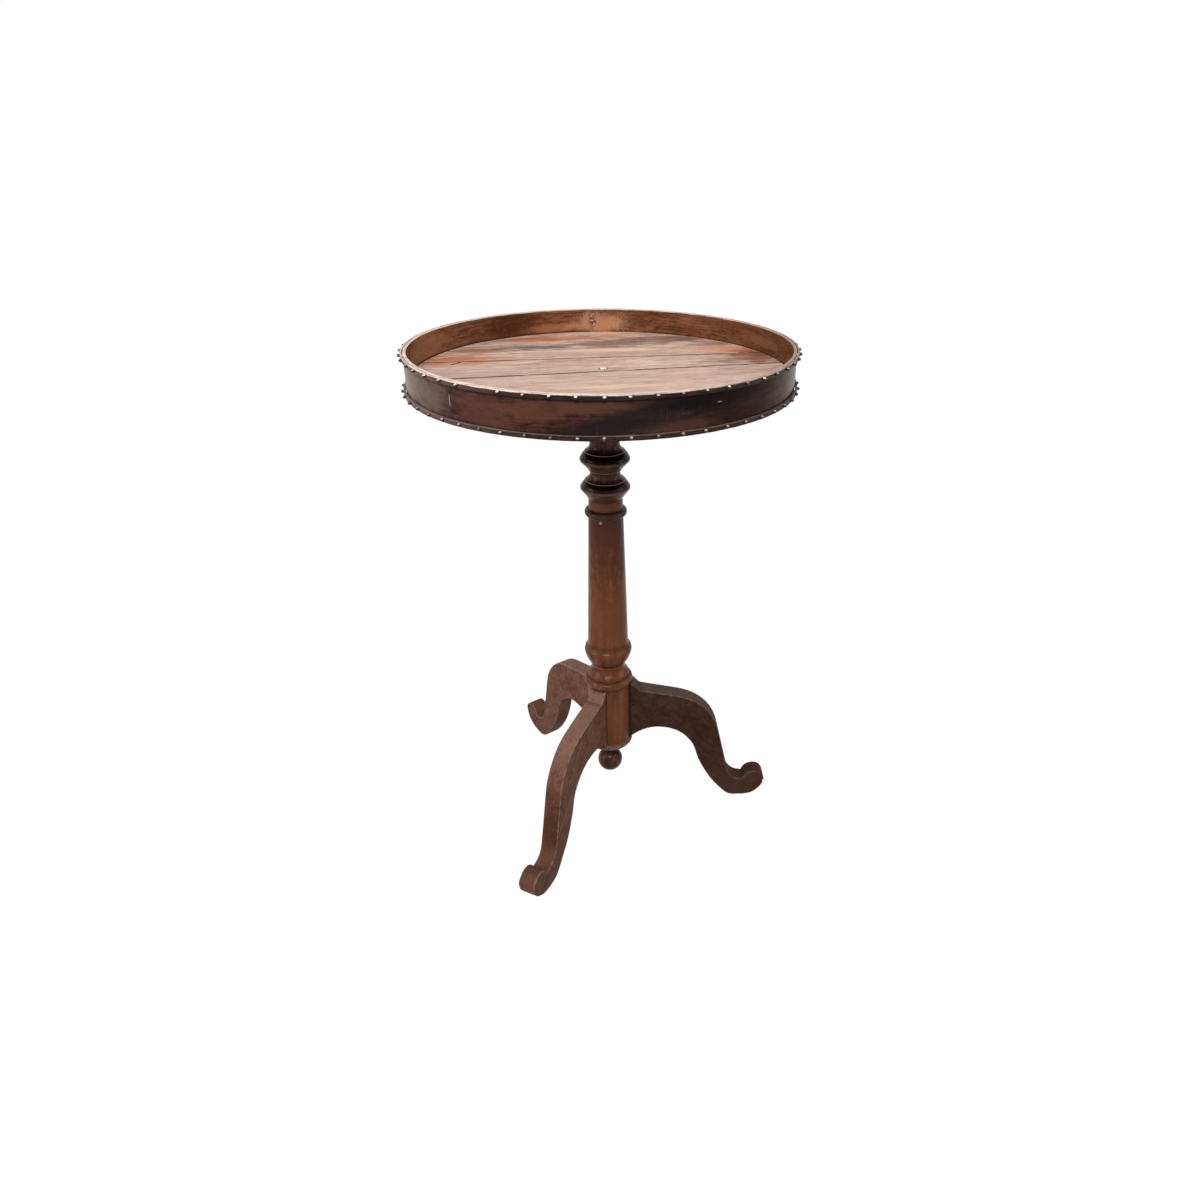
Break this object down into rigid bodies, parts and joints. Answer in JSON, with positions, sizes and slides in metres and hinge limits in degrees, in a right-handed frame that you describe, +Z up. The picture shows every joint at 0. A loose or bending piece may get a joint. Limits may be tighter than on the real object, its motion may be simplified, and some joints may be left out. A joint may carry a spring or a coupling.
{
  "type": "gueridon table",
  "caption": "Small round pedestal table: a shallow tray with a nailed bentwood hoop on a turned column with three scroll legs.",
  "frame": {"origin": "on the column's axis at the floor", "axes": "+Z up along the column, +X towards the right leg's foot, -Y towards the front"},
  "size_m": [0.4972, 0.4972, 0.72],
  "materials": {
    "hoop_wood": "aged stained wood, satin, worn",
    "band_wood": "dark aged wood, satin",
    "tray_floor_wood": "old polished boards, semi-gloss",
    "forged_iron": "dark forged iron, worn",
    "underside_wood": "sawn wood, dry and matte",
    "capital_wood": "nearly black turned wood, satin",
    "shaft_wood": "reddish brown turned wood, satin",
    "leg_wood": "dark brown wood, dull, worn edges"
  },
  "bodies": {
    "root": {"tray_hoop": "hoop_wood", "upper_band": "band_wood", "lower_band": "band_wood", "upper_band_nails": "forged_iron", "lower_band_nails": "forged_iron", "floor_board_back": "tray_floor_wood", "floor_board_middle": "tray_floor_wood", "floor_board_front": "tray_floor_wood", "centre_nail": "forged_iron", "tray_bearer": "underside_wood", "bearer_screws": "forged_iron", "column_capital": "capital_wood", "capital_pin": "forged_iron", "column_shaft": "shaft_wood", "leg_right": "leg_wood", "leg_back_left": "leg_wood", "leg_front_left": "leg_wood", "base_disc": "shaft_wood", "finial": "shaft_wood"}
  },
  "joints": []
}
